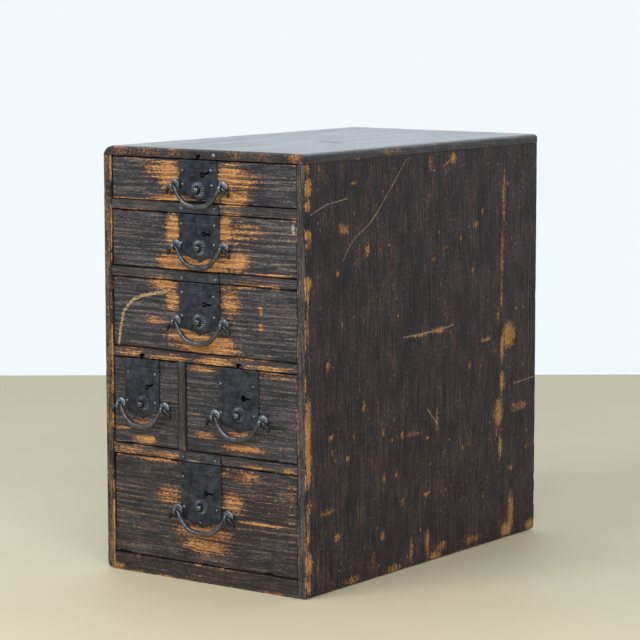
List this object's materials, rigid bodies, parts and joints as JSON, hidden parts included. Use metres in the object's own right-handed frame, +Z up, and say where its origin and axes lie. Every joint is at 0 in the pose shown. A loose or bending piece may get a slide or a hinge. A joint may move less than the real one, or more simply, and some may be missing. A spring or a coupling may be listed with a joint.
{
  "type": "tansu chest",
  "caption": "Small upright wooden tansu chest in worn dark lacquer, with sliding drawers, iron lock plates, push-button bolts and swinging bail handles.",
  "frame": {"origin": "middle of the case's footprint, on the floor", "axes": "+Z up, the drawers' fronts face -Y, +X to the right of someone facing the fronts"},
  "size_m": [0.2814, 0.4743, 0.48],
  "materials": {
    "lacquered_wood": "dark brown lacquer, worn to bare ochre wood at edges and around the locks",
    "bare_wood": "plain aged wood",
    "iron": "dark hand-forged iron"
  },
  "bodies": {
    "case": {"left_side_panel": "lacquered_wood", "right_side_panel": "lacquered_wood", "top_board": "lacquered_wood", "bottom_board": "lacquered_wood", "back_panel": "bare_wood", "shelf_1": "lacquered_wood", "shelf_2": "lacquered_wood", "shelf_3": "lacquered_wood", "shelf_4": "lacquered_wood", "divider": "lacquered_wood"},
    "drawer_1": {"drawer_1_front": "lacquered_wood", "drawer_1_box": "bare_wood", "drawer_1_lock_plate": "iron", "drawer_1_post_left": "iron", "drawer_1_post_right": "iron"},
    "bail_1": {"drawer_1_bail": "iron"},
    "button_1": {"drawer_1_button": "iron"},
    "bolt_1": {"drawer_1_bolt": "iron"},
    "drawer_2": {"drawer_2_front": "lacquered_wood", "drawer_2_box": "bare_wood", "drawer_2_lock_plate": "iron", "drawer_2_post_left": "iron", "drawer_2_post_right": "iron"},
    "bail_2": {"drawer_2_bail": "iron"},
    "button_2": {"drawer_2_button": "iron"},
    "bolt_2": {"drawer_2_bolt": "iron"},
    "drawer_3": {"drawer_3_front": "lacquered_wood", "drawer_3_box": "bare_wood", "drawer_3_lock_plate": "iron", "drawer_3_post_left": "iron", "drawer_3_post_right": "iron"},
    "bail_3": {"drawer_3_bail": "iron"},
    "button_3": {"drawer_3_button": "iron"},
    "bolt_3": {"drawer_3_bolt": "iron"},
    "drawer_4": {"drawer_4_front": "lacquered_wood", "drawer_4_box": "bare_wood", "drawer_4_lock_plate": "iron", "drawer_4_post_left": "iron", "drawer_4_post_right": "iron"},
    "bail_4": {"drawer_4_bail": "iron"},
    "button_4": {"drawer_4_button": "iron"},
    "bolt_4": {"drawer_4_bolt": "iron"},
    "drawer_5": {"drawer_5_front": "lacquered_wood", "drawer_5_box": "bare_wood", "drawer_5_lock_plate": "iron", "drawer_5_post_left": "iron", "drawer_5_post_right": "iron"},
    "bail_5": {"drawer_5_bail": "iron"},
    "button_5": {"drawer_5_button": "iron"},
    "bolt_5": {"drawer_5_bolt": "iron"},
    "drawer_6": {"drawer_6_front": "lacquered_wood", "drawer_6_box": "bare_wood", "drawer_6_lock_plate": "iron", "drawer_6_post_left": "iron", "drawer_6_post_right": "iron"},
    "bail_6": {"drawer_6_bail": "iron"},
    "button_6": {"drawer_6_button": "iron"},
    "bolt_6": {"drawer_6_bolt": "iron"}
  },
  "joints": [
    {"name": "drawer_1_slide", "type": "slide", "parent": "case", "child": "drawer_1", "axis": [0, -1, 0], "range_m": [0, 0.3]},
    {"name": "bail_1_swing", "type": "hinge", "parent": "drawer_1", "child": "bail_1", "pos_m": [-0.00301, -0.23775, 0.43819], "axis": [-1, 0, 0], "range_deg": [0, 170]},
    {"name": "button_1_push", "type": "slide", "parent": "drawer_1", "child": "button_1", "axis": [0, 1, 0], "range_m": [0, 0.004]},
    {"name": "bolt_1_lift", "type": "slide", "parent": "drawer_1", "child": "bolt_1", "axis": [0, 0, 1], "range_m": [0, 0.005]},
    {"name": "drawer_2_slide", "type": "slide", "parent": "case", "child": "drawer_2", "axis": [0, -1, 0], "range_m": [0, 0.3]},
    {"name": "bail_2_swing", "type": "hinge", "parent": "drawer_2", "child": "bail_2", "pos_m": [-0.00191, -0.23775, 0.37186], "axis": [-1, 0, 0], "range_deg": [0, 170]},
    {"name": "button_2_push", "type": "slide", "parent": "drawer_2", "child": "button_2", "axis": [0, 1, 0], "range_m": [0, 0.004]},
    {"name": "bolt_2_lift", "type": "slide", "parent": "drawer_2", "child": "bolt_2", "axis": [0, 0, 1], "range_m": [0, 0.005]},
    {"name": "drawer_3_slide", "type": "slide", "parent": "case", "child": "drawer_3", "axis": [0, -1, 0], "range_m": [0, 0.3]},
    {"name": "bail_3_swing", "type": "hinge", "parent": "drawer_3", "child": "bail_3", "pos_m": [-0.0025, -0.23775, 0.28838], "axis": [-1, 0, 0], "range_deg": [0, 170]},
    {"name": "button_3_push", "type": "slide", "parent": "drawer_3", "child": "button_3", "axis": [0, 1, 0], "range_m": [0, 0.004]},
    {"name": "bolt_3_lift", "type": "slide", "parent": "drawer_3", "child": "bolt_3", "axis": [0, 0, 1], "range_m": [0, 0.005]},
    {"name": "drawer_4_slide", "type": "slide", "parent": "case", "child": "drawer_4", "axis": [0, -1, 0], "range_m": [0, 0.3]},
    {"name": "bail_4_swing", "type": "hinge", "parent": "drawer_4", "child": "bail_4", "pos_m": [-0.08506, -0.23775, 0.18919], "axis": [-1, 0, 0], "range_deg": [0, 170]},
    {"name": "button_4_push", "type": "slide", "parent": "drawer_4", "child": "button_4", "axis": [0, 1, 0], "range_m": [0, 0.004]},
    {"name": "bolt_4_lift", "type": "slide", "parent": "drawer_4", "child": "bolt_4", "axis": [0, 0, 1], "range_m": [0, 0.005]},
    {"name": "drawer_5_slide", "type": "slide", "parent": "case", "child": "drawer_5", "axis": [0, -1, 0], "range_m": [0, 0.3]},
    {"name": "bail_5_swing", "type": "hinge", "parent": "drawer_5", "child": "bail_5", "pos_m": [0.05104, -0.23775, 0.18775], "axis": [-1, 0, 0], "range_deg": [0, 170]},
    {"name": "button_5_push", "type": "slide", "parent": "drawer_5", "child": "button_5", "axis": [0, 1, 0], "range_m": [0, 0.004]},
    {"name": "bolt_5_lift", "type": "slide", "parent": "drawer_5", "child": "bolt_5", "axis": [0, 0, 1], "range_m": [0, 0.005]},
    {"name": "drawer_6_slide", "type": "slide", "parent": "case", "child": "drawer_6", "axis": [0, -1, 0], "range_m": [0, 0.3]},
    {"name": "bail_6_swing", "type": "hinge", "parent": "drawer_6", "child": "bail_6", "pos_m": [0.00008, -0.23775, 0.07728], "axis": [-1, 0, 0], "range_deg": [0, 170]},
    {"name": "button_6_push", "type": "slide", "parent": "drawer_6", "child": "button_6", "axis": [0, 1, 0], "range_m": [0, 0.004]},
    {"name": "bolt_6_lift", "type": "slide", "parent": "drawer_6", "child": "bolt_6", "axis": [0, 0, 1], "range_m": [0, 0.005]}
  ],
  "couplings": [
    {"joint": "bolt_1_lift", "follows": "button_1_push", "ratio": 1.25},
    {"joint": "bolt_2_lift", "follows": "button_2_push", "ratio": 1.25},
    {"joint": "bolt_3_lift", "follows": "button_3_push", "ratio": 1.25},
    {"joint": "bolt_4_lift", "follows": "button_4_push", "ratio": 1.25},
    {"joint": "bolt_5_lift", "follows": "button_5_push", "ratio": 1.25},
    {"joint": "bolt_6_lift", "follows": "button_6_push", "ratio": 1.25}
  ]
}
